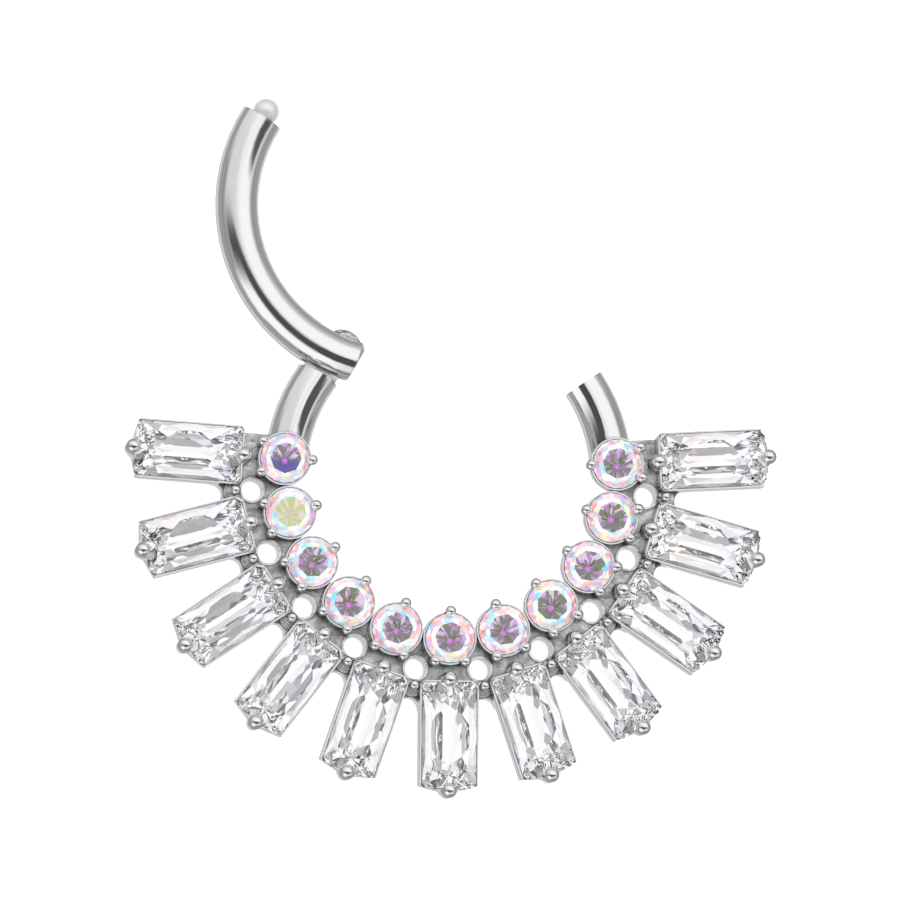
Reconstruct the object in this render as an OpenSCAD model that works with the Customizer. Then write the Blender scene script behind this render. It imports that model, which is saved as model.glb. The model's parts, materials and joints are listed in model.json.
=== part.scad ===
// Hinged septum ring with a fan of round and baguette stones, lying on its flat back.
// Millimetres. +X is to the right as seen face-on, +Y is up the face, +Z is out of the face.

/* [Ring] */
// Radius of the ring's wire, at its centreline
ring_r = 4.53; // [4.4:0.01:4.8]
// Thickness of the round wire (16 gauge)
wire_d = 1.2; // [1.1:0.01:1.25]
// How far the wire lies above the flat back
wire_lift = 0.02; // [0.01:0.01:0.05]
// Angle at which the right stub ends, from +X
right_end_a = 34.6; // [30:0.1:45]
// Gap left at the free end when the ring is shut
shut_gap = 0.05; // [0.03:0.01:0.15]

/* [Hinge] */
// Angle of the hinge pin on the ring, from +X
hinge_a = 134.4; // [125:0.1:140]
// How far the arm stands open
open_a = 113.1; // [100:0.1:115]
// Distance from the pin to the stub's shoulder
shoulder = 0.68; // [0.6:0.01:0.72]
// Distance from the pin to the arm's flat end
end_flat = 0.62; // [0.56:0.01:0.65]
// Turn of that flat from square to the wire
end_slant = -7; // [-12:0.5:0]
// Distance from the pin to the flat that meets the shoulder when open
stop_flat = 0.6; // [0.52:0.01:0.64]
// Turn of the shoulder from square to the open arm
stop_slant = -2.5; // [-5:0.1:2]
// Radius of the arm's rounded corners past the pin
knuckle_r = 0.84; // [0.76:0.01:0.86]
// Thickness of the tongue on the left stub
tongue_t = 0.4; // [0.3:0.01:0.45]
// Width of the tongue
tongue_w = 1.0; // [0.9:0.01:1.04]
// Radius of the tongue's round tip
tongue_tip_r = 0.56; // [0.54:0.01:0.57]
// Distance from the pin to the centre of the round tip
tongue_reach = 0.21; // [0.15:0.01:0.3]
// Radius of the hinge pin
pin_r = 0.2; // [0.15:0.01:0.25]
// Gap round the pin in the tongue
pin_play = 0.02; // [0.01:0.005:0.03]
// Gap round the pin in the arm's cheeks
pin_seat_gap = 0.005; // [0.004:0.001:0.01]
// Gap between the tongue and the arm's slot, on each side
tongue_play = 0.03; // [0.02:0.005:0.05]

/* [Ball catch] */
// Radius of the ball tip
ball_r = 0.36; // [0.32:0.01:0.38]
// Distance from the arm's end to the ball's centre
ball_reach = 0.22; // [0.2:0.01:0.26]
// Radius of the neck behind the ball
neck_r = 0.27; // [0.22:0.01:0.28]
// Gap round the ball in its socket
ball_play = 0.04; // [0.03:0.005:0.06]

/* [Fan] */
// Number of stations, each with one round stone and one baguette
stations = 11; // [5:2:11]
// Gap between neighbouring round stones
stone_space = 0.15; // [0.12:0.005:0.2]
// Thickness of the back plate
plate_t = 0.8; // [0.6:0.01:1]
// How far the back plate's inner edge is inside the wire's centreline
plate_in = 0.03; // [0:0.01:0.06]
// How far the slots' bottoms are outside the baguettes' inner ends
slot_bottom_out = 0.47; // [0.4:0.01:0.55]
// Radius of the round slot bottoms
slot_r = 0.3; // [0.29:0.01:0.34]
// Plate left past the first and last stones
end_margin = 0.68; // [0.6:0.01:0.74]
// Radius of the through holes
hole_r = 0.3; // [0.25:0.01:0.33]
// Distance from the round stones' circle to the through holes' circle
hole_row_out = 0.885; // [0.85:0.005:0.93]
// Width of the raised edge round each hole
hole_rim_w = 0.06; // [0.04:0.01:0.08]
// Height of that edge above the plate
hole_rim_h = 0.06; // [0.03:0.01:0.1]

/* [Round stones] */
// Diameter of the round stones
round_d = 1.35; // [1.3:0.01:1.4]
// How far the round stones' circle is outside the wire's centreline
round_row_out = 0.09; // [0.04:0.01:0.16]
// Wall of the cup outside each round stone
cup_wall = 0.045; // [0.04:0.005:0.07]
// Height of the cups
cup_h = 1.42; // [1.3:0.01:1.44]
// Radius of a cup's narrow foot
cup_foot_r = 0.6; // [0.5:0.01:0.7]
// Height at which a cup reaches its full width
cup_cone_h = 0.95; // [0.85:0.01:1.1]
// Radius of the open back of each cup
cup_back_r = 0.4; // [0.3:0.01:0.45]

/* [Baguettes] */
// Length of the baguettes
baguette_l = 2.92; // [2.6:0.02:3.2]
// Width of the baguettes
baguette_w = 1.5; // [1.35:0.01:1.5]
// Gap between the round stones and the baguettes, along a station
row_gap = 0.555; // [0.53:0.005:0.62]
// Wall of the basket outside each baguette
basket_wall = 0.045; // [0.04:0.005:0.07]
// Height of the baskets
basket_h = 1.46; // [1.36:0.01:1.47]
// Radius of the basket's inner corners
basket_corner_r = 0.16; // [0.1:0.01:0.18]
// Height at which a basket steps out to its rail
rail_z = 0.7; // [0.6:0.01:0.78]
// How far the basket is set in below the rail
rail_in = 0.1; // [0.05:0.01:0.13]
// How far a basket's outer corners are short of the stone's
corner_back = 0.08; // [0.04:0.01:0.12]
// Height of the ledge under each baguette
ledge_z = 1.2; // [1.1:0.01:1.22]
// Width of that ledge
ledge_w = 0.12; // [0.08:0.01:0.14]

/* [Stone fit] */
// Height of the stones' girdles above the flat back
girdle_z = 1.48; // [1.46:0.01:1.55]
// Gap between a stone and its metal
stone_gap = 0.02; // [0.015:0.001:0.03]

/* [Prongs] */
// Radius of the beads on the round stones
bead_r = 0.15; // [0.13:0.01:0.16]
// Radius of the posts under them
post_r = 0.11; // [0.09:0.01:0.12]
// Distance from a round stone's centre to its inner bead
inner_bead_off = 0.74; // [0.72:0.01:0.76]
// Height at which the inner prongs grow out of their cups
inner_foot_z = 0.9; // [0.8:0.01:1]
// Distance from a round stone's centre to its outer beads
outer_bead_off = 0.77; // [0.75:0.01:0.8]
// Angle of the outer beads from the station's line
outer_bead_a = 33; // [28:0.5:36]
// Height of the bead centres on the round stones
bead_z = 1.62; // [1.58:0.01:1.68]
// Radius of the beads on the baguettes
end_bead_r = 0.21; // [0.18:0.01:0.23]
// Radius of the posts under them
end_post_r = 0.16; // [0.13:0.01:0.17]
// Distance from a baguette's inner end back to its bead
end_bead_back = 0.08; // [0.06:0.005:0.12]
// Distance from a baguette's outer end on to its bead
end_bead_on = 0.06; // [0.04:0.005:0.12]
// Height of the bead centres on the baguettes
end_bead_z = 1.66; // [1.62:0.01:1.72]
// Radius of the small shared beads between the baskets
shared_bead_r = 0.14; // [0.11:0.01:0.15]
// How far the shared beads are outside the baguettes' inner ends
shared_bead_out = 0.15; // [0.13:0.01:0.18]
// Height of the shared bead centres
shared_bead_z = 1.45; // [1.3:0.01:1.55]
// Width of the sloping collar round a post
collar_w = 0.12; // [0.06:0.01:0.14]
// Height of that collar above the plate
collar_h = 0.1; // [0.05:0.01:0.15]

/* [Hidden] */
$fn = 72;
eps = 0.05;
reach = ring_r;
// Gap past the tongue's tip in the arm's slot
slot_end_play = 0.2;
// Turn of the ball's way in through the right stub's end, and its gap as a share of the socket's
throat_a = 12;
throat_share = 0.7;
// Blunt point of a basket, under its outer bead: its inset, its reach and its width as a share of the bead
tip_inset = 0.01;
tip_on = 0.05;
tip_share = 0.55;
// Turn of each round stone from its neighbour
stone_turn_a = 17;
// Proportions of the round brilliant: girdle, table, crown, stars, pavilion and lower halves
round_girdle = 0.04;
table_share = 0.58;
crown_a = 34.5;
star_share = 0.79;
pavilion_a = 41;
lower_half_share = 0.2;
facets = 8;
// Proportions of the baguette: crown steps, wavy girdle and a keeled pavilion cut in scissor facets
baguette_crown_h = 0.26;
crown_step_l = 0.34;
crown_step_w = 0.3;
table_bow = 0.05;
girdle_wave = 0.04;
baguette_girdle = 0.05;
pavilion_mid_z = -0.46;
pavilion_step_l = 0.3;
pavilion_step_w = 0.36;
pavilion_bow = 0.1;
keel_z = -0.76;
keel_back = 0.62;

wire_r = wire_d / 2;
wire_z = wire_r + wire_lift;
round_r = round_d / 2;
mid_station = (stations - 1) / 2;
STATION_LIST = [0 : stations - 1];
GAP_LIST = [0 : stations - 2];

// Circles of the fan, each from the one inside it, and the angle between stations
plate_inner_r = ring_r - plate_in;
round_row_r = ring_r + round_row_out;
pitch_a = 2 * asin((round_d + stone_space) / 2 / round_row_r);
hole_row_r = round_row_r + hole_row_out;
baguette_inner_r = round_row_r + round_r + row_gap;
shared_bead_row_r = baguette_inner_r + shared_bead_out;
slot_bottom_r = baguette_inner_r + slot_bottom_out;

function station_a(i) = 270 + pitch_a * (i - mid_station);
function on_ring(a, r = ring_r) = [r * cos(a), r * sin(a), 0];
function arc_a(l) = l / ring_r * 180 / PI;
function turned(p, a) = [p.x * cos(a) - p.y * sin(a), p.x * sin(a) + p.y * cos(a), p.z];

// The pin, the stub's shoulder, the arm's free end and the ball, with the ring shut
pivot = on_ring(hinge_a);
shoulder_a = hinge_a + arc_a(shoulder);
free_end_a = right_end_a + arc_a(shut_gap);
ball_shut = on_ring(free_end_a) + turned([ball_reach, 0, 0], free_end_a - 90);
stop_a = hinge_a + open_a + stop_slant;
slot_round_r = tongue_reach + tongue_tip_r + slot_end_play;
slot_t = tongue_t + 2 * tongue_play;

// The outline of a basket, in the station's own line
basket_half_w = baguette_w / 2 + stone_gap + basket_wall;
basket_inner_x = baguette_inner_r - stone_gap - basket_wall;
basket_outer_x = baguette_inner_r + baguette_l - corner_back;
end_bead_x = baguette_inner_r + baguette_l + end_bead_on;
tip_r = end_bead_r - tip_inset;

// Sizes of the round stone that follow from its proportions
half_facet_a = 180 / facets;
round_table_r = round_r * table_share;
round_crown_h = (round_r - round_table_r) * tan(crown_a);
star_r = round_r * star_share;
lower_half_r = round_r * lower_half_share;
// Height at which the star corners lie in the planes of the crown's main facets
star_z = round_crown_h * (round_r - star_r * cos(half_facet_a)) / (round_r - round_table_r);
// Height at which the lower-half corners lie in the planes of the pavilion's main facets
lower_half_z = -round_girdle - (round_r - lower_half_r * cos(half_facet_a)) * tan(pavilion_a);

// The whole ring's reach up and down, for the origin at the middle of its box
ball_open = pivot + turned(ball_shut - pivot, open_a);
top_y = ball_open.y + ball_r;
bottom_y = -(end_bead_x + end_bead_r);
mid_y = (top_y + bottom_y) / 2;

function two_digits(i) = i < 10 ? str("0", i) : str(i);
ROUND_NODES = [for (i = STATION_LIST) str("round_stone_", two_digits(i + 1))];
BAGUETTE_NODES = [for (i = STATION_LIST) str("baguette_", two_digits(i + 1))];

// Moves the ring's centre so that the origin is under the middle of the whole piece
module placed() {
    translate([0, -mid_y, 0]) children();
}

// Round wire along the ring, from one angle to another
module wire_arc(from_a, to_a) {
    rotate([0, 0, from_a])
        rotate_extrude(angle = to_a - from_a)
            translate([ring_r, wire_z]) circle(r = wire_r);
}

// Everything on the far side of a line that passes a distance d from the pin
module beyond(direction_a, d) {
    translate([pivot.x, pivot.y, wire_z])
        rotate([0, 0, direction_a])
            translate([d, -reach, -reach]) cube([reach, 2 * reach, 2 * reach]);
}

// A ball-tipped prong that stands on the origin
module prong(foot_z, top_z, shaft_r, ball) {
    translate([0, 0, foot_z]) cylinder(r = shaft_r, h = top_z - foot_z);
    translate([0, 0, top_z]) sphere(r = ball);
}

// The same with a tapered foot, which grows out of the side of a cup
module claw(foot_z, top_z, shaft_r, ball) {
    foot_h = 2 * shaft_r;
    translate([0, 0, foot_z]) cylinder(r1 = shaft_r / 4, r2 = shaft_r, h = foot_h);
    prong(foot_z + foot_h, top_z, shaft_r, ball);
}

// A sloping collar at a post's foot
module collar(shaft_r) {
    translate([0, 0, plate_t - eps])
        cylinder(r1 = shaft_r + collar_w, r2 = shaft_r, h = collar_h + eps);
}

// Back plate: a fan-shaped ring sector with square ends and round-bottomed slots
module plate() {
    outer_r = slot_bottom_r + slot_r;
    difference() {
        union() {
            rotate([0, 0, station_a(0)])
                rotate_extrude(angle = pitch_a * (stations - 1))
                    translate([plate_inner_r, 0]) square([outer_r - plate_inner_r, plate_t]);
            rotate([0, 0, station_a(0)])
                translate([plate_inner_r, -end_margin, 0])
                    cube([basket_inner_x + basket_corner_r - plate_inner_r, end_margin + eps, plate_t]);
            rotate([0, 0, station_a(stations - 1)])
                translate([plate_inner_r, -eps, 0])
                    cube([basket_inner_x + basket_corner_r - plate_inner_r, end_margin + eps, plate_t]);
        }
        for (i = GAP_LIST)
            rotate([0, 0, station_a(i + 0.5)])
                translate([outer_r, 0, -eps]) cylinder(r = slot_r, h = plate_t + 2 * eps);
    }
}

// What stands between two stations: the hole's raised edge and a small shared prong
module between_stations() {
    translate([hole_row_r, 0, plate_t - eps]) cylinder(r = hole_r + hole_rim_w, h = hole_rim_h + eps);
    translate([shared_bead_row_r, 0, 0]) {
        collar(post_r);
        prong(plate_t / 2, shared_bead_z, post_r, shared_bead_r);
    }
}

// A basket's outline: rounded inner corners, square outer corners and a blunt point under the outer bead
module basket_outline(set_in) {
    corner = [for (a = [0 : 15 : 90]) basket_corner_r * [1 - sin(a), 1 - cos(a)]];
    near = [for (c = corner) [basket_inner_x + set_in + c.y, -basket_half_w + set_in + c.x]];
    far = [[basket_outer_x - set_in / 2, -basket_half_w + set_in], [end_bead_x + tip_on - set_in, -tip_r * tip_share]];
    side = concat(near, far);
    polygon(concat(side, [for (i = [len(side) - 1 : -1 : 0]) [side[i].x, -side[i].y]]));
    translate([end_bead_x - set_in, 0]) circle(r = tip_r);
}

// The metal of one station: a round cup, an open basket and their prongs
module station_metal() {
    cup_r = round_r + stone_gap + cup_wall;
    translate([round_row_r, 0, 0]) {
        cylinder(r1 = cup_foot_r, r2 = cup_r, h = cup_cone_h);
        translate([0, 0, cup_cone_h - eps]) cylinder(r = cup_r, h = cup_h - cup_cone_h + eps);
        translate([-inner_bead_off, 0, 0]) claw(inner_foot_z, bead_z, post_r, bead_r);
        for (side = [-1, 1])
            rotate([0, 0, side * outer_bead_a])
                translate([outer_bead_off, 0, 0]) prong(plate_t / 4, bead_z, post_r, bead_r);
    }
    linear_extrude(height = rail_z + eps) basket_outline(rail_in);
    translate([0, 0, rail_z]) linear_extrude(height = basket_h - rail_z) basket_outline(0);
    translate([baguette_inner_r - end_bead_back, 0, 0]) {
        collar(end_post_r);
        prong(plate_t / 4, end_bead_z, end_post_r, end_bead_r);
    }
    translate([end_bead_x, 0, 0]) prong(rail_z, end_bead_z, end_post_r, end_bead_r);
}

// The room that a round stone takes, with its gap, and the open back of its cup
module round_seat() {
    wide = round_r + stone_gap;
    low_z = girdle_z - round_girdle - stone_gap;
    back_z = low_z - (wide - cup_back_r) * tan(pavilion_a);
    top_z = girdle_z + round_crown_h + stone_gap;
    top_r = round_table_r + 2 * stone_gap;
    translate([round_row_r, 0, 0])
        rotate_extrude()
            polygon([
                [0, -eps], [cup_back_r, -eps], [cup_back_r, back_z], [wide, low_z],
                [wide, girdle_z + stone_gap], [top_r, top_z], [0, top_z]
            ]);
}

// The room that a baguette takes, with its gap, and the open back of its basket
module baguette_seat() {
    half_l = baguette_l / 2 + stone_gap;
    half_w = baguette_w / 2 + stone_gap;
    table_l = baguette_l / 2 - crown_step_l + 2 * stone_gap;
    table_z = girdle_z + baguette_crown_h + stone_gap;
    edge_z = girdle_z + girdle_wave + stone_gap;
    translate([baguette_inner_r + baguette_l / 2, 0, 0]) {
        rotate([90, 0, 0])
            translate([0, 0, -half_w])
                linear_extrude(height = 2 * half_w)
                    polygon([
                        [-half_l, ledge_z], [half_l, ledge_z], [half_l, edge_z],
                        [table_l, table_z], [-table_l, table_z], [-half_l, edge_z]
                    ]);
        translate([-half_l + ledge_w, -half_w + ledge_w, -eps])
            cube([2 * (half_l - ledge_w), 2 * (half_w - ledge_w), ledge_z + 2 * eps]);
    }
}

// The hinge tongue: a flat curved bar with a round tip past the pin
module tongue() {
    tip_a = hinge_a - arc_a(tongue_reach);
    root_a = shoulder_a + arc_a(wire_r);
    rotate([0, 0, tip_a])
        rotate_extrude(angle = root_a - tip_a)
            translate([ring_r - tongue_w / 2, wire_z - tongue_t / 2]) square([tongue_w, tongue_t]);
    translate(on_ring(tip_a) + [0, 0, wire_z - tongue_t / 2]) cylinder(r = tongue_tip_r, h = tongue_t);
}

// Left stub: wire from its slanted shoulder to the first cup, with room for the arm's corner to swing
module left_stub() {
    difference() {
        wire_arc(hinge_a, station_a(0));
        beyond(stop_a + 180, -shoulder);
        translate([pivot.x, pivot.y, wire_z]) sphere(r = knuckle_r + tongue_play);
    }
}

// Right stub: wire from the last cup to its end, with the socket that the ball swings into
module right_stub() {
    from_pin = ball_shut - pivot;
    difference() {
        wire_arc(station_a(stations - 1) - 360, right_end_a);
        translate(ball_shut + [0, 0, wire_z]) sphere(r = ball_r + ball_play);
        translate(pivot)
            rotate([0, 0, atan2(from_pin.y, from_pin.x)])
                rotate_extrude(angle = throat_a)
                    translate([norm(from_pin), wire_z]) circle(r = ball_r + throat_share * ball_play);
    }
}

// The soldered metal of the fan, its prongs, both stubs and the tongue
module setting() {
    color("silver") placed()
        difference() {
            union() {
                plate();
                for (i = GAP_LIST) rotate([0, 0, station_a(i + 0.5)]) between_stations();
                for (i = STATION_LIST) rotate([0, 0, station_a(i)]) station_metal();
                left_stub();
                right_stub();
                tongue();
            }
            for (i = STATION_LIST)
                rotate([0, 0, station_a(i)]) {
                    round_seat();
                    baguette_seat();
                }
            for (i = GAP_LIST)
                rotate([0, 0, station_a(i + 0.5)])
                    translate([hole_row_r, 0, -eps]) cylinder(r = hole_r, h = plate_t + reach);
            translate(pivot) cylinder(r = pin_r + pin_play, h = reach);
        }
}

// The arm's wire with the ring shut, before its slot and pin hole
module arm_wire() {
    difference() {
        wire_arc(free_end_a, hinge_a + arc_a(wire_d));
        beyond(hinge_a + 90 + end_slant, end_flat);
        beyond(stop_a - open_a, stop_flat);
        translate([pivot.x, pivot.y, wire_z])
            rotate([0, 0, hinge_a])
                difference() {
                    translate([-reach, 0, -reach]) cube([2 * reach, reach, 2 * reach]);
                    sphere(r = knuckle_r);
                }
    }
}

// The ball and its neck on the arm's free end
module ball_tip() {
    translate(on_ring(free_end_a) + [0, 0, wire_z])
        rotate([0, 0, free_end_a - 90])
            rotate([0, 90, 0]) translate([0, 0, -wire_r / 2]) cylinder(r = neck_r, h = ball_reach + wire_r / 2);
    translate(ball_shut + [0, 0, wire_z]) sphere(r = ball_r);
}

// Swings what is modelled shut to where the arm stands open
module swung_open() {
    translate(pivot) rotate([0, 0, open_a]) translate(-pivot) children();
}

// The swinging arm: a forked hinge end, a curved wire and a ball tip
module hinged_arm() {
    color("gainsboro") placed() swung_open()
        difference() {
            union() {
                arm_wire();
                ball_tip();
            }
            translate([pivot.x, pivot.y, wire_z - slot_t / 2]) cylinder(r = slot_round_r, h = slot_t);
            translate(pivot) cylinder(r = pin_r + pin_seat_gap, h = reach);
        }
}

// The pin, filed flush with the round of the arm
module hinge_pin() {
    color("darkgray") placed() swung_open()
        intersection() {
            arm_wire();
            translate(pivot) cylinder(r = pin_r, h = reach);
        }
}

// A cut stone: the convex body that its facet corners span
module cut_stone(corners) {
    hull() polyhedron(points = corners, faces = [[for (i = [0 : len(corners) - 1]) i]]);
}

function ring_of(n, r, z, turn = 0) = [for (i = [0 : n - 1]) [r * cos(360 * i / n + turn), r * sin(360 * i / n + turn), z]];
function four_ways(x, y, z) = [[x, y, z], [-x, y, z], [x, -y, z], [-x, -y, z]];

module round_stone(i) {
    color(i == 0 ? "mediumpurple" : "pink") placed()
        rotate([0, 0, station_a(i)])
            translate([round_row_r, 0, girdle_z])
                rotate([0, 0, stone_turn_a * i])
                    cut_stone(concat(
                        ring_of(facets, round_table_r, round_crown_h),
                        ring_of(facets, star_r, star_z, half_facet_a),
                        ring_of(2 * facets, round_r, 0),
                        ring_of(2 * facets, round_r, -round_girdle),
                        ring_of(facets, lower_half_r, lower_half_z, half_facet_a),
                        [[0, 0, -round_girdle - round_r * tan(pavilion_a)]]
                    ));
}

module baguette(i) {
    half_l = baguette_l / 2;
    half_w = baguette_w / 2;
    color("white") placed()
        rotate([0, 0, station_a(i)])
            translate([baguette_inner_r + half_l, 0, girdle_z])
                cut_stone(concat(
                    four_ways(half_l - crown_step_l, half_w - crown_step_w, baguette_crown_h),
                    four_ways(0, half_w - crown_step_w + table_bow, baguette_crown_h),
                    four_ways(half_l, half_w, 0),
                    four_ways(0, half_w, girdle_wave),
                    four_ways(half_l, half_w, -baguette_girdle),
                    four_ways(0, half_w, -baguette_girdle - girdle_wave),
                    four_ways(half_l - pavilion_step_l, half_w - pavilion_step_w, pavilion_mid_z),
                    four_ways(0, half_w - pavilion_step_w + pavilion_bow, pavilion_mid_z),
                    four_ways(half_l - keel_back, 0, keel_z)
                ));
}

setting();
hinged_arm();
hinge_pin();
for (i = STATION_LIST) {
    round_stone(i);
    baguette(i);
}
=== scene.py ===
"""Looks of the hinged septum ring: polished steel, clear baguettes and rainbow-coated round stones."""
import json
import math
import random

import bmesh
import bpy
from bpy.props import FloatProperty, FloatVectorProperty, PointerProperty
from mathutils import Matrix, Vector


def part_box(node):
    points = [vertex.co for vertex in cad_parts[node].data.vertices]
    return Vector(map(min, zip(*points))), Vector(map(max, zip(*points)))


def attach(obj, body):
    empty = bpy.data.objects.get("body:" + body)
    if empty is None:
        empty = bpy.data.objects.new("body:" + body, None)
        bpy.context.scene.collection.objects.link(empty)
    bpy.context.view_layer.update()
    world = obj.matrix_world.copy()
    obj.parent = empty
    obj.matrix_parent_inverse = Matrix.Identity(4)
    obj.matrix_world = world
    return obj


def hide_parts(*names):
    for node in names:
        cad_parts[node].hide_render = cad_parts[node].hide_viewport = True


bl_info = {
    "name": "Septum ring",
    "version": (1, 0, 0),
    "blender": (4, 5, 0),
    "location": "View3D > Sidebar > Septum ring",
    "description": "Dresses the packed septum ring and sets its studio",
    "category": "Add Mesh",
}

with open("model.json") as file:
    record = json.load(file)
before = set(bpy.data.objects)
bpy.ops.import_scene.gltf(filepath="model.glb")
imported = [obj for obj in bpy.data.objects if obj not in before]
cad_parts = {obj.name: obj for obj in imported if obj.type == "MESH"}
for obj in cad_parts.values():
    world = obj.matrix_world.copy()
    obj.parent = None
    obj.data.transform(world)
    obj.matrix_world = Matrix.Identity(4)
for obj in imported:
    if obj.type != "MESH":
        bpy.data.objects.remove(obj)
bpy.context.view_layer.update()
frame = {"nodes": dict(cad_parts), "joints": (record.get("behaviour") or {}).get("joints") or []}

MM = 0.001
NODES = frame["nodes"]
ROUND_NODES = sorted(n for n in NODES if n.startswith("round_stone_"))
BAGUETTE_NODES = sorted(n for n in NODES if n.startswith("baguette_"))
HINGE = Vector(frame["joints"][0]["pos_m"])
# The wire's circle and radius, the hinge's angle on it, the arm's opening and the shared beads' circle
RING_R = 4.53 * MM
WIRE_R = 0.6 * MM
HINGE_A = math.radians(134.4)
OPEN_A = math.radians(113.1)
SHARED_BEAD_ROW = 6.0 * MM


def on_circle(angle, radius):
    return Vector((math.cos(angle), math.sin(angle), 0)) * radius


RING_MIDDLE = HINGE - on_circle(HINGE_A, RING_R)
ARM_MIDDLE = HINGE - on_circle(HINGE_A + OPEN_A, RING_R)


def box_middle(node):
    low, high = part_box(node)
    return (low + high) / 2


def station_matrix(number):
    """The frame of one station: origin under its round stone, X out to its baguette, Z up."""
    centre = box_middle(ROUND_NODES[number])
    outward = box_middle(BAGUETTE_NODES[number]) - centre
    centre.z = outward.z = 0
    turn = Matrix.Rotation(math.atan2(outward.y, outward.x), 4, "Z")
    return Matrix.Translation(centre) @ turn


def gap_matrix(number):
    """The frame of the shared bead after one station: Z up from the floor, X outwards."""
    outward = box_middle(ROUND_NODES[number]) + box_middle(ROUND_NODES[number + 1]) - 2 * RING_MIDDLE
    turn = math.atan2(outward.y, outward.x)
    place = RING_MIDDLE + on_circle(turn, SHARED_BEAD_ROW)
    place.z = 0
    return Matrix.Translation(place) @ Matrix.Rotation(turn, 4, "Z")


def station_box(node, station):
    """The lowest and the highest corner of a node in its station's frame."""
    inverse = station.inverted()
    places = [inverse @ v.co for v in NODES[node].data.vertices]
    return [Vector([pick(place[axis] for place in places) for axis in range(3)]) for pick in (min, max)]


# Shader maths


class Wire:
    """A socket of a node tree. Arithmetic on it adds Math nodes."""

    def __init__(self, shop, socket):
        self.shop, self.socket = shop, socket

    def math(self, operation, *others, swap=False):
        """A Math node of this socket and others, or with swap of the others and this."""
        values = [self, *others]
        if swap:
            values.reverse()
        return self.shop.add("ShaderNodeMath", {"operation": operation}, dict(enumerate(values)))

    def __add__(self, other):
        return self.math("ADD", other)

    def __sub__(self, other):
        return self.math("SUBTRACT", other)

    def __rsub__(self, other):
        return self.math("SUBTRACT", other, swap=True)

    def __mul__(self, other):
        return self.math("MULTIPLY", other)


class NodeShop:
    """Builds one node tree, of a material or of the world."""

    def __init__(self, owner):
        owner.use_nodes = True
        self.tree = owner.node_tree
        self.tree.nodes.clear()

    def add(self, kind, settings=None, values=None, output=0):
        """Adds a node: first its settings, then the values or links of its sockets."""
        node = self.tree.nodes.new(kind)
        for name, value in (settings or {}).items():
            if name == "stops":
                self.set_stops(node.color_ramp, value)
            elif name == "interpolation":
                node.color_ramp.interpolation = value
            else:
                setattr(node, name, value)
        for key, value in (values or {}).items():
            socket = self.find(node.inputs, key)
            if isinstance(value, Wire):
                self.tree.links.new(value.socket, socket)
            elif value is not None:
                socket.default_value = value
        return Wire(self, self.find(node.outputs, output)) if node.outputs else node

    @staticmethod
    def find(sockets, key):
        if isinstance(key, int):
            return sockets[key]
        return next(s for s in sockets if key in (s.identifier, s.name))

    @staticmethod
    def set_stops(ramp, stops):
        while len(ramp.elements) < len(stops):
            ramp.elements.new(1)
        for element, (place, colour) in zip(ramp.elements, stops):
            element.position, element.color = place, rgba(colour)

    def mix(self, factor, first, second):
        """A colour between two colours."""
        return self.add(
            "ShaderNodeMix",
            {"data_type": "RGBA"},
            {"Factor_Float": factor, "A_Color": rgba(first), "B_Color": rgba(second)},
            "Result_Color",
        )

    def soft_step(self, value, low, high):
        """0 below low, 1 above high and smooth between; low may be the larger."""
        return self.add(
            "ShaderNodeMapRange",
            {"interpolation_type": "SMOOTHSTEP"},
            {"Value": value, "From Min": low, "From Max": high},
        )

    def coords(self, kind="Object"):
        return self.add("ShaderNodeTexCoord", output=kind)

    def split(self, vector):
        node = self.add("ShaderNodeSeparateXYZ", None, {0: vector}).socket.node
        return [Wire(self, out) for out in node.outputs]

    def vector_math(self, operation, first, second):
        """A number worked out from two vectors."""
        return self.add("ShaderNodeVectorMath", {"operation": operation}, {0: first, 1: second}, "Value")

    def attribute(self, name, output="Color"):
        return self.add("ShaderNodeAttribute", {"attribute_name": name}, output=output)

    def noise(self, vector, scale, detail=3.0):
        return self.add("ShaderNodeTexNoise", None, {"Vector": vector, "Scale": scale, "Detail": detail})

    def bump(self, height, distance, normal):
        """Relief over a normal that is already bent."""
        values = {"Height": height, "Distance": distance, "Strength": 1.0, "Normal": normal}
        return self.add("ShaderNodeBump", None, values)

    def ray(self):
        """What kind of ray looks: the outputs of a Light Path node."""
        return {out.name: Wire(self, out) for out in self.tree.nodes.new("ShaderNodeLightPath").outputs}

    def finish(self, values):
        """The Principled surface and the output."""
        surface = self.add("ShaderNodeBsdfPrincipled", None, values)
        self.add("ShaderNodeOutputMaterial", None, {"Surface": surface})


def grey(level):
    return (level, level, level)


def rgba(colour):
    if isinstance(colour, Wire) or len(colour) == 4:
        return colour
    return (*colour, 1.0)


def new_material(name):
    material = bpy.data.materials.new(name)
    return material, NodeShop(material)


# Properties


def length_property(name, description, default):
    return FloatProperty(name=name, description=description, default=default, unit="LENGTH", precision=6)


def share_property(name, description, default, high=1.0):
    return FloatProperty(
        name=name, description=description, default=default, min=0, max=high, subtype="FACTOR"
    )


def angle_property(name, description, degrees):
    default = math.radians(degrees)
    return FloatProperty(name=name, description=description, default=default, subtype="ANGLE")


def colour_property(name, description, default):
    return FloatVectorProperty(
        name=name, description=description, default=default, size=3, min=0, max=4, subtype="COLOR"
    )


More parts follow.
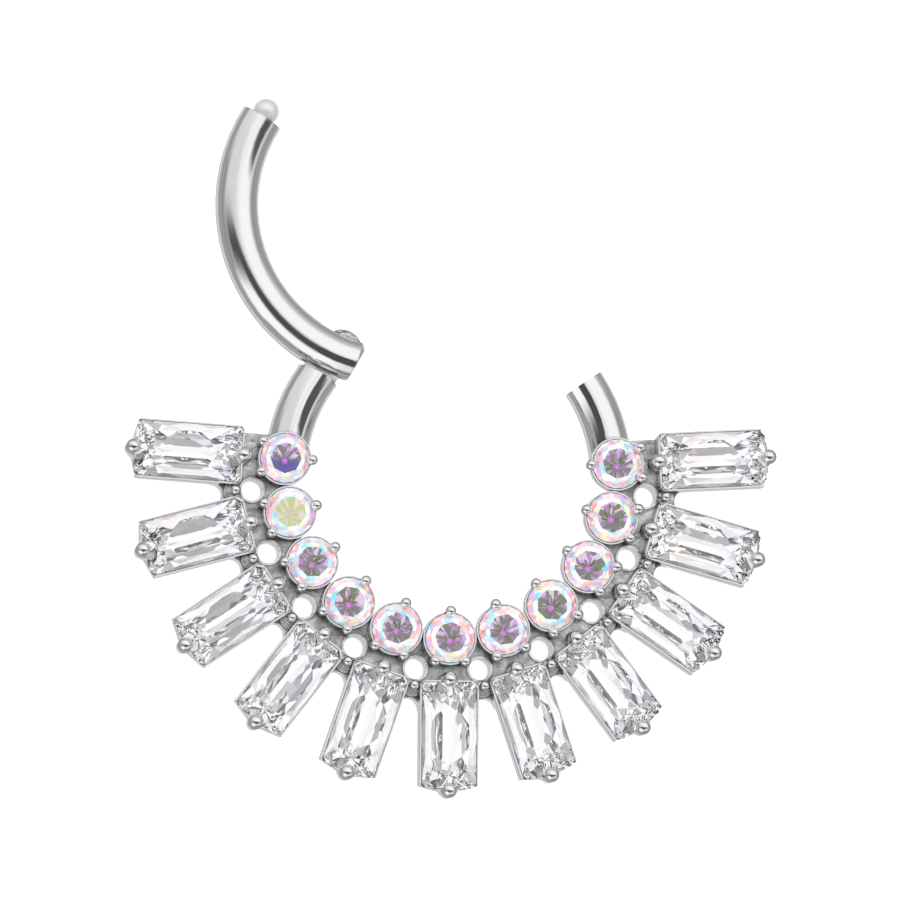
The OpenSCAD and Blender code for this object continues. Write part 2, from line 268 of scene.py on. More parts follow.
class StageSettings(bpy.types.PropertyGroup):
    camera_away: length_property("Camera distance", "From the ring's face to the camera", 0.25)
    camera_tilt: angle_property("Camera tilt", "How far below the ring's middle the camera stands", 4.75)
    camera_turn: angle_property("Camera turn", "How far left of the ring's middle the camera stands", 5.72)
    camera_roll: angle_property("Camera roll", "Turn of the picture about its middle", 0.98)
    camera_lens: FloatProperty(
        name="Lens", description="Focal length on a 36 mm wide sensor", default=361.09,
        subtype="DISTANCE_CAMERA",
    )
    floor_size: length_property("Floor size", "Side of the square floor", 3.0)
    floor_colour: colour_property("Floor colour", "Colour of the pale floor", (0.9, 0.9, 0.9))
    floor_glow: share_property("Floor glow", "Light that the backlit floor gives off itself", 0.9, 2)


class MetalSettings(bpy.types.PropertyGroup):
    steel_colour: colour_property("Steel colour", "Colour of the polished steel", (0.94, 0.94, 0.945))
    steel_roughness: share_property("Steel roughness", "How blurred polished steel's reflections are", 0.045)
    wire_roughness: share_property("Wire roughness", "How blurred the arm's reflections are", 0.075)
    plate_colour: colour_property("Plate colour", "Colour of the back plate as cast", (0.86, 0.86, 0.86))
    plate_roughness: share_property("Plate roughness", "How blurred the cast plate's reflections are", 0.34)
    satin_roughness: share_property("Satin roughness", "How blurred the reflections of the ball are", 0.38)
    edge_radius: length_property("Edge radius", "How round the casting's edges are", 0.016 * MM)
    wire_end_radius: length_property("Wire end radius", "How round the ends of the arm are", 0.07 * MM)
    # Painted shade: a dark line is painted onto the setting's side walls at this height, under the rims
    shade_line_height: length_property("Line height", "Height of the dark line under the rims", 1.34 * MM)
    # Painted shade: corners that other metal comes near, and the sides of the arm, are darkened towards the
    # colour below
    painted_shade_reach: length_property("Nook reach", "How near other metal darkens a corner", 0.1 * MM)
    painted_shade_colour: colour_property("Nook colour", "Colour of the unpolished corners", (0.035, 0.035, 0.035))
    plate_height: length_property("Plate height", "Upward faces below it are as cast", 0.84 * MM)


class StoneSettings(bpy.types.PropertyGroup):
    index: FloatProperty(
        name="Refractive index", description="Of the clear zirconia", default=2.15, min=1, max=3
    )
    clear_colour: colour_property("Clear stone", "Colour of the clear baguettes", (0.985, 0.98, 0.985))
    violet: colour_property("Violet", "Violet spokes seen through a round stone's table", (0.46, 0.27, 0.5))
    olive: colour_property("Olive", "Olive spokes seen through a round stone's table", (0.19, 0.24, 0.12))
    dusk: colour_property("Dusk", "Grey lower part of a round stone's table", (0.22, 0.2, 0.24))
    magenta: colour_property("Magenta", "Spot below the middle of a round stone's table", (0.85, 0.2, 0.9))
    rose: colour_property("Rose", "Coated facets at the girdle", (0.95, 0.45, 0.52))
    peach: colour_property("Peach", "Coated facets at the girdle", (0.93, 0.42, 0.27))
    ice: colour_property("Ice blue", "Coated facets round the table", (0.4, 0.82, 0.96))
    gold: colour_property("Gold", "Single facets round the table", (0.96, 0.94, 0.5))


class RingSettings(bpy.types.PropertyGroup):
    stage: PointerProperty(name="Stage", description="Camera, light and floor", type=StageSettings)
    metal: PointerProperty(name="Metal", description="Steel finishes", type=MetalSettings)
    stones: PointerProperty(name="Stones", description="Stone colours", type=StoneSettings)


def settings():
    return bpy.context.scene.septum_ring


# Mesh helpers


def new_piece(name, bm, materials, body):
    """Makes an object of the bmesh, with its place in its mesh, and lets it ride on a CAD body."""
    mesh = bpy.data.meshes.new(name)
    bm.to_mesh(mesh)
    bm.free()
    for material in materials:
        mesh.materials.append(material)
    piece = bpy.data.objects.new(name, mesh)
    bpy.context.scene.collection.objects.link(piece)
    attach(piece, body)
    return piece


def facets_of(node):
    """A copy of a cut stone's CAD mesh, with its loose triangles merged into whole facets."""
    bm = bmesh.new()
    bm.from_mesh(NODES[node].data)
    bmesh.ops.remove_doubles(bm, verts=bm.verts, dist=0.0001 * MM)
    bmesh.ops.dissolve_limit(bm, angle_limit=math.radians(0.5), verts=bm.verts, edges=bm.edges)
    for face in bm.faces:
        face.smooth = False
    return bm


class Operator(bpy.types.Operator):
    bl_options = {"REGISTER", "UNDO"}


class RING_OT_stage(Operator):
    """Sets the camera, the soft studio light and the white floor"""

    bl_idname = "septum_ring.stage"
    bl_label = "Stage"

    def execute(self, context):
        stage = settings().stage
        scene = context.scene
        scene.view_settings.view_transform = "Standard"
        for kind in ("max_bounces", "glossy_bounces", "transmission_bounces"):
            setattr(scene.cycles, kind, LIGHT_BOUNCES)
        self.camera(scene, stage)
        self.surroundings(scene)
        self.floor(scene, stage)
        return {"FINISHED"}

    @staticmethod
    def camera(scene, stage):
        data = bpy.data.cameras.new("camera")
        data.lens = stage.camera_lens
        data.clip_start, data.clip_end = 0.01, 10
        camera = bpy.data.objects.new("camera", data)
        scene.collection.objects.link(camera)
        turn = (
            Matrix.Rotation(stage.camera_tilt, 3, "X")
            @ Matrix.Rotation(-stage.camera_turn, 3, "Y")
            @ Matrix.Rotation(stage.camera_roll, 3, "Z")
        )
        aim = turn @ Vector(CAMERA_SHIFT) * MM + Vector((0, 0, CAMERA_AIM_Z))
        place = aim + turn @ Vector((0, 0, stage.camera_away))
        camera.matrix_world = Matrix.Translation(place) @ turn.to_4x4()
        scene.camera = camera

    @staticmethod
    def surroundings(scene):
        """Patches of light and shade, one set on the metal and one in the stones, white to the camera."""
        world = bpy.data.worlds.new("studio")
        scene.world = world
        shop = NodeShop(world)
        direction = shop.coords("Generated")
        from_up = shop.split(direction)[2].math("ARCCOSINE") * math.degrees(1)
        on_metal = RING_OT_stage.patches(shop, direction, from_up, METAL_LIGHT, METAL_PATCHES)
        in_stones = RING_OT_stage.patches(shop, direction, from_up, STONE_LIGHT, STONE_PATCHES)
        ray = shop.ray()
        through = ray["Is Transmission Ray"]
        light = on_metal + through * (in_stones - on_metal)
        strength = light + ray["Is Camera Ray"] * (1 - light)
        side = shop.soft_step(shop.split(direction)[0], -0.4, 0.4)
        tint = shop.mix(through, (1, 1, 1), shop.mix(side, COOL_LIGHT, WARM_LIGHT))
        background = shop.add("ShaderNodeBackground", None, {"Color": tint, "Strength": strength})
        shop.add("ShaderNodeOutputWorld", None, {"Surface": background})

    @staticmethod
    def patches(shop, direction, from_up, light, patches):
        """Lays soft-edged patches of brightness, by direction, over an even light."""
        for azimuth, half_azimuth, height, half_height, soft, level in patches:
            a = math.radians(azimuth)
            along = shop.vector_math("DOT_PRODUCT", direction, (math.cos(a), math.sin(a), 0))
            across = shop.vector_math("DOT_PRODUCT", direction, (-math.sin(a), math.cos(a), 0))
            aside = across.math("ARCTAN2", along).math("ABSOLUTE") * math.degrees(1)
            above = (from_up - height).math("ABSOLUTE")
            mask = shop.soft_step(above, half_height + soft / 2, half_height - soft / 2)
            if half_azimuth < 180:
                mask = mask * shop.soft_step(aside, half_azimuth + soft / 2, half_azimuth - soft / 2)
            light = mask * (level - light) + light
        return light

    @staticmethod
    def floor(scene, stage):
        """Backlit paper to the camera and through the stones; the metal mirrors it grey, paler close by."""
        material, shop = new_material("white_floor")
        ray = shop.ray()
        seen = ray["Is Camera Ray"].math("MAXIMUM", ray["Is Transmission Ray"])
        close = shop.soft_step(ray["Ray Length"], *MIRRORED_REACH)
        mirrored = shop.mix(close, grey(MIRRORED_FAR), grey(MIRRORED_CLOSE))
        speckle = shop.noise(shop.coords(), 900)
        paper = shop.mix(speckle * 0.15, stage.floor_colour, [0.85 * c for c in stage.floor_colour])
        shop.finish({
            "Base Color": shop.mix(seen, grey(MIRRORED_PAPER), paper),
            "Roughness": 0.9, "Specular IOR Level": 0.0,
            "Emission Color": shop.mix(seen, mirrored, grey(stage.floor_glow)), "Emission Strength": 1.0,
        })
        bm = bmesh.new()
        bmesh.ops.create_grid(bm, x_segments=1, y_segments=1, size=stage.floor_size / 2)
        mesh = bpy.data.meshes.new("floor")
        bm.to_mesh(mesh)
        bm.free()
        mesh.materials.append(material)
        floor = bpy.data.objects.new("floor", mesh)
        scene.collection.objects.link(floor)


# Direction from +X and from straight up, with their half widths, then softness in degrees and brightness
METAL_LIGHT = 0.7
METAL_PATCHES = [
    (60, 75, 35, 30, 25, 0.98),
    (50, 60, 92, 20, 20, 0.5),
    (0, 30, 100, 25, 20, 0.27),
    (180, 25, 95, 22, 20, 0.27),
    (228, 26, 64, 24, 14, 1.0),
    (285, 32, 90, 16, 12, 0.1),
    (262, 84, 20, 18, 8, 0.07),
    (188, 12, 45, 24, 22, 0.08),
    (-14, 12, 40, 22, 10, 0.09),
]
STONE_LIGHT = 1.2
STONE_PATCHES = [
    (270, 50, 70, 12, 10, 0.28),
    (100, 30, 60, 8, 8, 0.5),
    (0, 25, 50, 10, 8, 0.6),
    (190, 20, 75, 15, 10, 0.38),
    (220, 180, 0, 7, 5, 0.26),
    (80, 50, 32, 12, 10, 0.52),
    (300, 40, 40, 12, 8, 0.44),
]
# Tints of the light that leaves the stones to the left and to the right
COOL_LIGHT = (0.91, 0.9, 1.0)
WARM_LIGHT = (1.0, 0.96, 0.92)
# The floor in the metal: its paper, its glow from afar and close by, and the ray lengths between those two
MIRRORED_PAPER = 0.12
MIRRORED_FAR = 0.26
MIRRORED_CLOSE = 0.62
MIRRORED_REACH = (1.9 * MM, 1.1 * MM)
# Where the camera aims: a shift in the picture's plane in mm, and a height
CAMERA_SHIFT = (0.0158, -0.0165, 0)
CAMERA_AIM_Z = 0.8 * MM
# Enough for the light to find its way out of the zirconia
LIGHT_BOUNCES = 20


class RING_OT_metal(Operator):
    """Gives the setting, the arm and the pin their polished and as-cast steel"""

    bl_idname = "septum_ring.metal"
    bl_label = "Metal"

    def execute(self, context):
        metal = settings().metal
        cast, wire = self.cast_steel(metal), self.wire_steel(metal)
        NODES["setting"].data.materials[0] = cast
        for node in ("hinged_arm", "hinge_pin"):
            NODES[node].data.materials[0] = wire
        return {"FINISHED"}

    @staticmethod
    def cast_steel(metal):
        """The setting: polished rims and beads over a plate left as cast, with painted shade in its corners,
        on its side walls and in a dark line under the rims.
        """
        material, shop = new_material("polished_casting")
        place = shop.coords()
        height = shop.split(place)[2]
        facing = shop.split(shop.add("ShaderNodeNewGeometry", output="Normal"))[2]
        low = shop.soft_step(height, metal.plate_height + 0.04 * MM, metal.plate_height)
        plate = low * shop.soft_step(facing, 0.8, 0.95)
        cloud = shop.noise(place, 2600, 3)
        # Painted shade: an ambient occlusion node finds where other metal comes near, and those corners are
        # darkened
        reach = {"Distance": metal.painted_shade_reach}
        occlusion_shade = shop.add("ShaderNodeAmbientOcclusion", {"samples": 3}, reach, "AO")
        unshaded_metal = shop.soft_step(occlusion_shade, 0.28, 0.85)
        colour = shop.mix(plate, metal.steel_colour, metal.plate_colour)
        blotch = plate * shop.soft_step(cloud, 0.4, 0.6) * 0.7
        colour = shop.mix(blotch, colour, [0.5 * c for c in metal.plate_colour])
        # Painted shade: side walls are darkened a little, and strongly along a line at the rims' height
        side = shop.soft_step(facing.math("ABSOLUTE"), 0.4, 0.1)
        from_line = (height - metal.shade_line_height).math("ABSOLUTE")
        line = shop.soft_step(from_line, 0.11 * MM, 0.07 * MM)
        colour = shop.mix(side * (line * 0.7 + 0.2), colour, metal.painted_shade_colour)
        colour = shop.mix(unshaded_metal * 0.9 + 0.1, metal.painted_shade_colour, colour)
        tongue = near(shop, place, TONGUE_TIP, TONGUE_REACH, 0.05 * MM)
        grain = shop.noise(place, GRAIN_SCALE, 2)
        dull = plate.math("MAXIMUM", tongue)
        rough = dull * (metal.plate_roughness - metal.steel_roughness) + metal.steel_roughness
        worn = shop.add("ShaderNodeBevel", {"samples": 2}, {"Radius": metal.edge_radius})
        bump = shop.bump(cloud * plate + grain * tongue, 0.05 * MM, worn)
        shop.finish({"Base Color": colour, "Metallic": 1.0, "Roughness": rough, "Normal": bump})
        return material

    @staticmethod
    def wire_steel(metal):
        """The arm and its pin: bright drawn wire with rounded ends, painted shade on its sides, and a satin
        ball with a painted glow.
        """
        material, shop = new_material("polished_wire")
        place = shop.coords()
        upward = shop.split(shop.add("ShaderNodeNewGeometry", output="Normal"))[2]
        cloud = shop.noise(place, 1500, 2)
        ball = near(shop, place, BALL_TIP, BALL_REACH, 0.03 * MM)
        hinge = near(shop, place, HINGE, HINGE_REACH, 0.05 * MM)
        rounding = (1 - hinge) * metal.wire_end_radius
        worn = shop.add("ShaderNodeBevel", {"samples": 2}, {"Radius": rounding})
        grain = shop.noise(place, GRAIN_SCALE, 2)
        rough = (cloud - 0.5) * 0.03 + metal.wire_roughness
        rough = rough + ball * (metal.satin_roughness - rough)
        # Painted shade: where the wire's surface turns to the side it is darkened halfway to the shade
        # colour
        edge = shop.soft_step(upward.math("ABSOLUTE"), 0.32, 0.05)
        colour = shop.mix(ball * grain * 0.3, metal.steel_colour, metal.plate_colour)
        # Painted light: the ball glows a little of its own
        shop.finish({
            "Base Color": shop.mix(edge * 0.5, colour, metal.painted_shade_colour),
            "Metallic": 1 - ball * 0.5, "Roughness": rough,
            "Emission Color": shop.mix(ball, grey(0), grey(BALL_PAINTED_GLOW)), "Emission Strength": 1.0,
            "Normal": shop.bump(grain * ball, 0.01 * MM, worn),
        })
        return material


def near(shop, place, centre, reach, soft):
    """1 closer to a point than reach, 0 away from it."""
    return shop.soft_step(shop.vector_math("DISTANCE", place, centre), reach + soft, reach)


# Satin spots on the polished metal, the hinge, whose edges stay sharp, and how much painted light the ball
# gives off
TONGUE_TIP = HINGE + Vector((0.15, 0.147, 0)) * MM
TONGUE_REACH = 0.7 * MM
BALL_TIP = Vector((-5.176, 9.334, 0.62)) * MM
BALL_REACH = 0.38 * MM
BALL_PAINTED_GLOW = 0.16
HINGE_REACH = 0.75 * MM
GRAIN_SCALE = 9000


class RING_OT_round_stones(Operator):
    """Splits the round stones' facets and paints on them the rainbow coat's colours and reflections, with a
    painted glow
    """

    bl_idname = "septum_ring.round_stones"
    bl_label = "Round stones"

    def execute(self, context):
        stones = settings().stones
        materials = [self.crown(stones), self.table(stones)]
        for number, node in enumerate(ROUND_NODES):
            bm = facets_of(node)
            self.dress(bm, box_middle(node), number, stones)
            piece = new_piece(f"brilliant_{number + 1:02d}", bm, materials, "frame")
            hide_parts(node)
        return {"FINISHED"}

    @staticmethod
    def cells(shop, turns, rings, centre=(0, 0)):
        """The plan's radius and height about a centre, and a chance number for each wedge round it."""
        seed = shop.split(shop.attribute("mood"))[2]
        right, up = shop.split(shop.add("ShaderNodeUVMap", {"uv_map": "plan"}))[:2]
        right, up = right - centre[0], up - centre[1]
        radius = (right * right + up * up).math("SQRT")
        around = up.math("ARCTAN2", right) * (turns / (2 * math.pi))
        values = {0: around + seed * 37, 1: radius * rings, 2: seed * 53}
        wedge = shop.add("ShaderNodeCombineXYZ", None, values)
        cell = shop.add("ShaderNodeTexVoronoi", None, {"Vector": wedge, "Scale": 1.0}, "Color")
        return radius, up, shop.split(cell)[0]

    @staticmethod
    def crown(stones):
        """The facets round the table, painted with the coat's colours and reflections: pale wedges inside, a
        rainbow of small ones at the girdle, and a painted glow.
        """
        material, shop = new_material("rainbow_crown")
        _, up, wide = RING_OT_round_stones.cells(shop, *WIDE_WEDGES)
        small = RING_OT_round_stones.cells(shop, *SMALL_WEDGES)[2]
        rose, peach, ice, gold = stones.rose, stones.peach, stones.ice, stones.gold
        inner = [
            (0, WHITE), (0.24, ice), (0.42, WHITE), (0.54, gold),
            (0.64, rose), (0.74, LILAC), (0.8, WHITE), (0.9, CYAN),
        ]
        outer = [
            (0, rose), (0.2, WHITE), (0.34, LILAC), (0.47, peach), (0.58, rose),
            (0.7, CYAN), (0.77, WHITE), (0.86, SALMON), (0.94, SLATE),
        ]
        shades = [
            shop.add("ShaderNodeValToRGB", {"interpolation": "CONSTANT", "stops": stops}, {"Fac": cell})
            for stops, cell in ((inner, wide), (outer, small))
        ]
        pale = shop.soft_step(up.math("ABSOLUTE"), 0.5, 0.75)
        zone = shop.attribute("tone", "Alpha") * (1 - pale * 0.6)
        colour = shop.mix(0.3, shop.mix(zone, *shades), shop.attribute("tone"))
        # Painted light: the crown glows with its own colour, dimmed by CROWN_DIM
        shop.finish({
            "Base Color": colour, "Roughness": 0.03, "IOR": stones.index,
            "Emission Color": shop.mix(CROWN_DIM, colour, (0, 0, 0)), "Emission Strength": 1.0,
        })
        return material

    @staticmethod
    def table(stones):
        """The table: olive and violet spokes about a magenta spot, painted reflections of the coated back
        that shows through, greyer below, with a painted glow.
        """
        material, shop = new_material("rainbow_table")
        blue, green = shop.split(shop.attribute("mood"))[:2]
        radius, up, spoke = RING_OT_round_stones.cells(shop, *SPOKE_WEDGES, SPOT_PLACE)
        ramp = {"interpolation": "CONSTANT", "stops": [
            (0, [0.6 * c for c in stones.olive]), (0.2, stones.olive), (0.46, stones.dusk),
            (0.58, stones.violet), (0.76, LILAC), (0.86, PEARL),
        ]}
        colour = shop.add("ShaderNodeValToRGB", ramp, {"Fac": spoke * 0.8 + radius * 0.75 - 0.16})
        # Painted shade: the table's lower half greys towards dusk
        below = shop.soft_step(up, 0.02, -0.01)
        colour = shop.mix(below * 0.45, colour, stones.dusk)
        deep = shop.soft_step(up, 0.25, -0.12) * blue
        colour = shop.mix(deep * (spoke * 0.5 + 0.5), colour, INDIGO)
        colour = shop.mix(green * 0.8, colour, shop.mix(spoke, LIME, CREAM))
        spot = shop.soft_step(radius + spoke * 0.12, 0.17, 0.13) * (1 - green)
        colour = shop.mix(spot, colour, stones.magenta)
        # Painted light: the table glows with its own colour, dimmed by TABLE_DIM
        shop.finish({
            "Base Color": colour, "Roughness": 0.03, "IOR": stones.index, "Specular IOR Level": 0.25,
            "Emission Color": shop.mix(TABLE_DIM, colour, (0, 0, 0)), "Emission Strength": 1.0,
        })
        return material

    @staticmethod
    def dress(bm, middle, number, stones):
        """Widens the table, splits the crown, gives each facet its tint and lays the plan on a UV map."""
        tone = bm.loops.layers.float_color.new("tone")
        mood = bm.loops.layers.float_color.new("mood")
        plan = bm.loops.layers.uv.new("plan")
        radius = max((v.co - middle).xy.length for v in bm.verts)
        top = max(v.co.z for v in bm.verts)
        table = [v for v in bm.verts if v.co.z > top - 0.001 * MM]
        to_middle = Matrix.Translation(-middle)
        for wider, verts in ((TABLE_WIDER, table), (STONE_WIDER, bm.verts)):
            bmesh.ops.scale(bm, vec=(wider, wider, 1), space=to_middle, verts=verts)
        bm.normal_update()
        chance = random.Random(STONE_SEED + number)
        rose, peach, ice, gold = (tuple(c) for c in (stones.rose, stones.peach, stones.ice, stones.gold))
        tints = {True: (WHITE, WHITE, ice, gold, ice), False: (rose, rose, peach, LILAC, ice, WHITE)}
        bmesh.ops.poke(bm, faces=[f for f in bm.faces if 0.1 < f.normal.z < 0.99])
        for face in bm.faces:
            face.material_index = 1 if face.normal.z > 0.99 else 0
            inner = (face.calc_center_median() - middle).xy.length < 0.78 * radius
            tint = chance.choice(tints[inner])
            for loop in face.loops:
                loop[tone] = (*tint, 0 if inner else 1)
                loop[mood] = (*STONE_MOODS.get(number, (0, 0)), number / len(ROUND_NODES), 1)
                loop[plan].uv = (loop.vert.co - middle).xy / radius


# Colours of single wedges of the rainbow coat and of its painted reflections
WHITE = (1, 1, 1)
PEARL = (0.8, 0.66, 0.78)
INDIGO = (0.06, 0.03, 0.42)
LIME = (0.72, 0.85, 0.25)
CREAM = (1.0, 0.85, 0.8)
CYAN = (0.14, 0.7, 0.95)
LILAC = (0.74, 0.42, 0.86)
SALMON = (0.86, 0.27, 0.2)
SLATE = (0.2, 0.28, 0.45)
# How many wedges go round the stone and how many rings they make
WIDE_WEDGES = (13, 5)
SMALL_WEDGES = (29, 8)
SPOKE_WEDGES = (27, 2.9)
# How much darker than its colour each stone's painted glow is
CROWN_DIM = 0.52
TABLE_DIM = 0.7
# The magenta spot in the plan, in radii
SPOT_PLACE = (-0.06, -0.14)
TABLE_WIDER = 1.1
STONE_WIDER = 1.01
# Stones unlike the rest: how blue their table's lower half is, and how far the table turns yellow-green
STONE_MOODS = {0: (0.9, 0.0), 1: (0.0, 0.9)}
STONE_SEED = 41


class RING_OT_baguettes(Operator):
    """Cuts the baguettes anew, in clear zirconia"""

    bl_idname = "septum_ring.baguettes"
    bl_label = "Baguettes"

    def execute(self, context):
        stones = settings().stones
        material, shop = new_material("clear_zirconia")
        haze = shop.noise(shop.coords(), 700)
        shop.finish({
            "Base Color": shop.mix(haze, (1, 1, 1), stones.clear_colour), "Roughness": 0.0,
            "IOR": stones.index, "Transmission Weight": 1.0,
        })
        for number, node in enumerate(BAGUETTE_NODES):
            bm = self.cut(node, station_matrix(number))
            piece = new_piece(f"clear_baguette_{number + 1:02d}", bm, [material], "frame")
            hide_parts(node)
        return {"FINISHED"}

    @staticmethod
    def cut(node, station):
        """A baguette with clipped corners, a bowed table and a pavilion of kites, in its CAD stone's box."""
        low, high = station_box(node, station)
        half_l, half_w = (high.x - low.x) / 2, (high.y - low.y) / 2
        top, keel = high.z, low.z
        middle = Vector(((high.x + low.x) / 2, 0, 0))
        girdle = top - CROWN_H
        foot = girdle - GIRDLE_H
        bm = bmesh.new()
        for x, y, z in (
            (half_l - TABLE_END, 0, top),
            (half_l - TABLE_CORNER[0], half_w - TABLE_CORNER[1], top), (0, half_w - TABLE_SIDE, top),
            (half_l, half_w - CORNER_CLIP, girdle), (half_l - CORNER_CLIP, half_w, girdle),
            (half_l, 0, girdle + END_RISE), (0, half_w, girdle + SIDE_RISE),
            (half_l, half_w - CORNER_CLIP, foot), (half_l - CORNER_CLIP, half_w, foot),
            (half_l, 0, girdle - GIRDLE_DIP), (0, half_w, girdle - GIRDLE_DIP),
            (half_l - KITE_CORNER[0], half_w - KITE_CORNER[1], girdle - KITE_CORNER[2]),
            (half_l - KEEL_END, 0, keel), (0, 0, keel),
        ):
            for side_x in {x, -x}:
                for side_y in {y, -y}:
                    bm.verts.new(middle + Vector((side_x, side_y, z)))
        bmesh.ops.convex_hull(bm, input=bm.verts)
        bmesh.ops.dissolve_limit(bm, angle_limit=math.radians(0.5), verts=bm.verts, edges=bm.edges)
        bmesh.ops.recalc_face_normals(bm, faces=bm.faces)
        bm.transform(station)
        return bm


# The crown, the girdle and its waves, the clipped corners, the table and the pavilion's points
CROWN_H = 0.26 * MM
GIRDLE_H = 0.05 * MM
END_RISE = 0.03 * MM
SIDE_RISE = 0.04 * MM
GIRDLE_DIP = 0.1 * MM
CORNER_CLIP = 0.14 * MM
TABLE_END = 0.48 * MM
TABLE_SIDE = 0.22 * MM
TABLE_CORNER = (0.5 * MM, 0.27 * MM)
KITE_CORNER = (0.88 * MM, 0.4 * MM, 0.5 * MM)
KEEL_END = 0.62 * MM


class RING_OT_details(Operator):
    """Adds the small castings: collars, ridged webs, corner fillets and the burnished pin head"""

    bl_idname = "septum_ring.details"
    bl_label = "Details"

    def execute(self, context):
        cast, wire = bpy.data.materials["polished_casting"], bpy.data.materials["polished_wire"]
        for number, node in enumerate(BAGUETTE_NODES):
            station = station_matrix(number)
            low, high = station_box(node, station)
            bm = bmesh.new()
            post = (low.x - POST_BACK, 0, COLLAR_Z)
            self.ring_arc(bm, post, COLLAR_R, COLLAR_HALF, math.pi, COLLAR_SWEEP)
            bm.transform(station)
            new_piece(f"bead_collar_{number + 1:02d}", bm, [wire], "frame")
            bm = bmesh.new()
            for side in (-1, 1):
                self.fillet(bm, low.x, high.y, side)
            bm.transform(station)
            new_piece(f"rim_corners_{number + 1:02d}", bm, [cast], "frame")
        for number in range(len(ROUND_NODES) - 1):
            bm = bmesh.new()
            for reach, height, wide, sweep in WEB_RIDGES:
                half_size = (wide * MM, RIDGE_HALF_H)
                self.ring_arc(bm, (0, 0, height * MM), reach * MM, half_size, 0, math.radians(sweep))
            bm.transform(gap_matrix(number))
            new_piece(f"web_ridges_{number + 1:02d}", bm, [wire], "frame")
        self.pin_head(wire)
        return {"FINISHED"}

    @staticmethod
    def ring_arc(bm, place, reach, half_size, facing, sweep):
        """A bent oval bar about an upright axis, its middle facing one way."""
        wide, tall = half_size
        oval = Matrix.Diagonal((1, tall / wide, 1, 1))
        upright = Matrix.Translation((reach, 0, 0)) @ Matrix.Rotation(math.pi / 2, 4, "X") @ oval
        start = Matrix.Translation(place) @ Matrix.Rotation(facing - sweep / 2, 4, "Z") @ upright
        made = bmesh.ops.create_circle(bm, cap_ends=True, radius=wide, segments=12, matrix=start)
        faces = list({f for v in made["verts"] for f in v.link_faces})
        edges = list({e for v in made["verts"] for e in v.link_edges})
        geom = made["verts"] + edges + faces
        bmesh.ops.spin(bm, geom=geom, cent=place, axis=(0, 0, 1), angle=sweep, steps=24)
        bmesh.ops.recalc_face_normals(bm, faces=bm.faces)
        for face in bm.faces:
            face.smooth = len(face.verts) == 4

    @staticmethod
    def fillet(bm, inner_x, half_w, side):
        """A rounded corner of the basket's rim, over the stone's clipped corner."""
        corner = Vector((inner_x - FILLET_OUT, side * (half_w + FILLET_OUT), FILLET_LOW))
        centre = corner + Vector((FILLET_R, -side * FILLET_R, 0))
        verts = [bm.verts.new(corner)]
        for step in range(FILLET_STEPS + 1):
            angle = math.pi + step / FILLET_STEPS * math.pi / 2
            reach = on_circle(angle, FILLET_R)
            verts.append(bm.verts.new(centre + Vector((reach.x, -side * reach.y, 0))))
        made = bmesh.ops.contextual_create(bm, geom=verts)
        raised = bmesh.ops.extrude_face_region(bm, geom=made["faces"])
        up = [g for g in raised["geom"] if isinstance(g, bmesh.types.BMVert)]
        bmesh.ops.translate(bm, verts=up, vec=(0, 0, FILLET_H))
        bmesh.ops.recalc_face_normals(bm, faces=bm.faces)

    @staticmethod
    def pin_head(material):
        """A skin of the arm's own roundness over the pin's end, as the burnished joint shows no line."""
        bm = bmesh.new()
        start = (
            Matrix.Translation(ARM_MIDDLE) @ Matrix.Rotation(HINGE_A + OPEN_A - PIN_SWEEP / 2, 4, "Z")
            @ Matrix.Translation((RING_R, 0, 0)) @ Matrix.Rotation(math.pi / 2, 4, "X")
        )
        made = bmesh.ops.create_circle(bm, radius=WIRE_R + PIN_SKIN, segments=240, matrix=start)
        geom = made["verts"] + list({e for v in made["verts"] for e in v.link_edges})
        bmesh.ops.spin(bm, geom=geom, cent=ARM_MIDDLE, axis=(0, 0, 1), angle=PIN_SWEEP, steps=40)
        outside = [v for v in bm.verts if (v.co - HINGE).xy.length > PIN_HEAD_R or v.co.z < HINGE.z]
        bmesh.ops.delete(bm, geom=outside, context="VERTS")
        bmesh.ops.recalc_face_normals(bm, faces=bm.faces)
        if sum(f.normal.z for f in bm.faces) < 0:
            bmesh.ops.reverse_faces(bm, faces=bm.faces)
        for face in bm.faces:
            face.smooth = True
        bmesh.ops.solidify(bm, geom=bm.faces, thickness=PIN_HEAD_H)
        bm.normal_update()
        for edge in bm.edges:
            edge.smooth = edge.calc_face_angle(0) < math.radians(30)
        new_piece("pin_head", bm, [material], "arm")


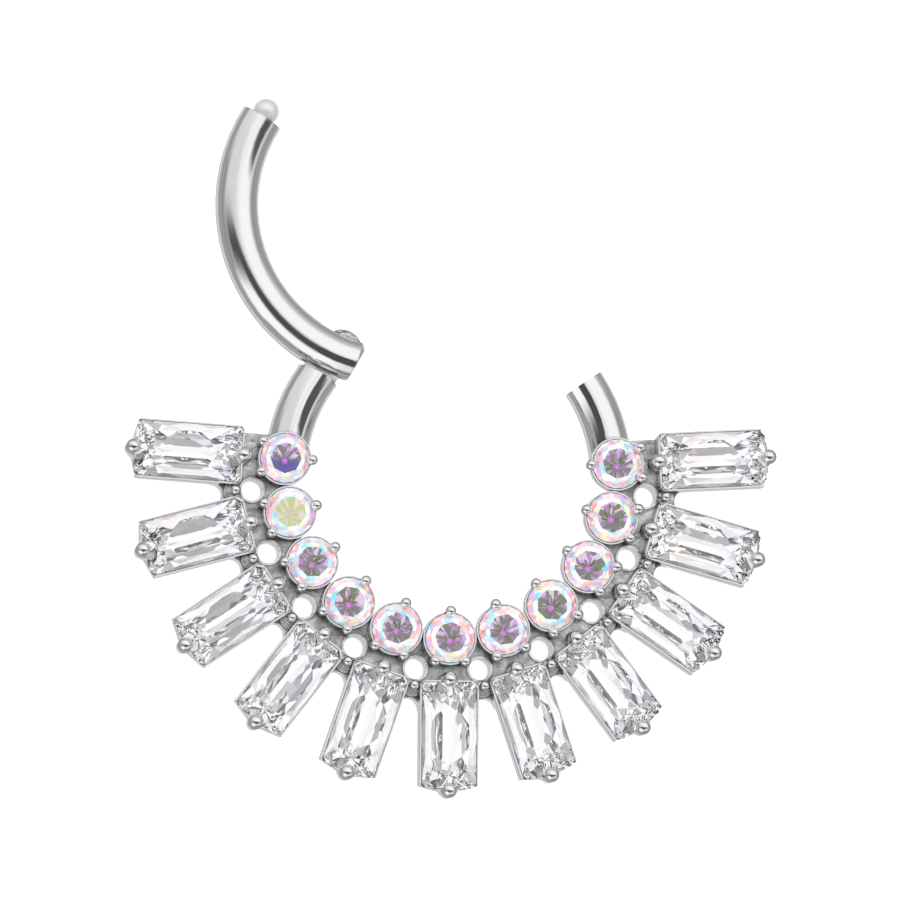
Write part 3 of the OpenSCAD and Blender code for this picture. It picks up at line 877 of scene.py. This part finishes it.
# The collar round a baguette's inner bead: how far the post stands back, and the collar's middle and size
POST_BACK = 0.03 * MM
COLLAR_Z = 1.0 * MM
COLLAR_R = 0.2 * MM
COLLAR_HALF = (0.06 * MM, 0.2 * MM)
COLLAR_SWEEP = math.radians(200)
# Radius, height and half width in mm and sweep in degrees: a shared bead's foot, then the ridges outside it
WEB_RIDGES = ((0.13, 0.9, 0.07, 340), (0.21, 0.89, 0.03, 120), (0.27, 0.84, 0.03, 90))
RIDGE_HALF_H = 0.1 * MM
FILLET_R = 0.2 * MM
FILLET_OUT = 0.03 * MM
FILLET_LOW = 1.4 * MM
FILLET_H = 0.12 * MM
FILLET_STEPS = 10
PIN_HEAD_R = 0.26 * MM
PIN_HEAD_H = 0.05 * MM
PIN_SKIN = 0.001 * MM
PIN_SWEEP = math.radians(8)


class RING_PT_panel(bpy.types.Panel):
    """Lists the ring's steps and settings"""

    bl_idname = "RING_PT_panel"
    bl_label = "Septum ring"
    bl_space_type = "VIEW_3D"
    bl_region_type = "UI"
    bl_category = "Septum ring"

    def draw(self, context):
        for operator in OPERATORS:
            self.layout.operator(operator.bl_idname)
        for group in (settings().stage, settings().metal, settings().stones):
            box = self.layout.box()
            for name in group.bl_rna.properties.keys():
                if name not in ("rna_type", "name"):
                    box.prop(group, name)


OPERATORS = (RING_OT_stage, RING_OT_metal, RING_OT_round_stones, RING_OT_baguettes, RING_OT_details)
CLASSES = (StageSettings, MetalSettings, StoneSettings, RingSettings, *OPERATORS, RING_PT_panel)


def register():
    for cls in CLASSES:
        bpy.utils.register_class(cls)
    bpy.types.Scene.septum_ring = PointerProperty(
        name="Septum ring", description="Sizes and colours of the septum ring", type=RingSettings
    )


def unregister():
    del bpy.types.Scene.septum_ring
    for cls in reversed(CLASSES):
        bpy.utils.unregister_class(cls)


def main():
    register()
    bpy.ops.septum_ring.stage()
    bpy.ops.septum_ring.metal()
    bpy.ops.septum_ring.round_stones()
    bpy.ops.septum_ring.baguettes()
    bpy.ops.septum_ring.details()


if __name__ == "__main__":
    main()
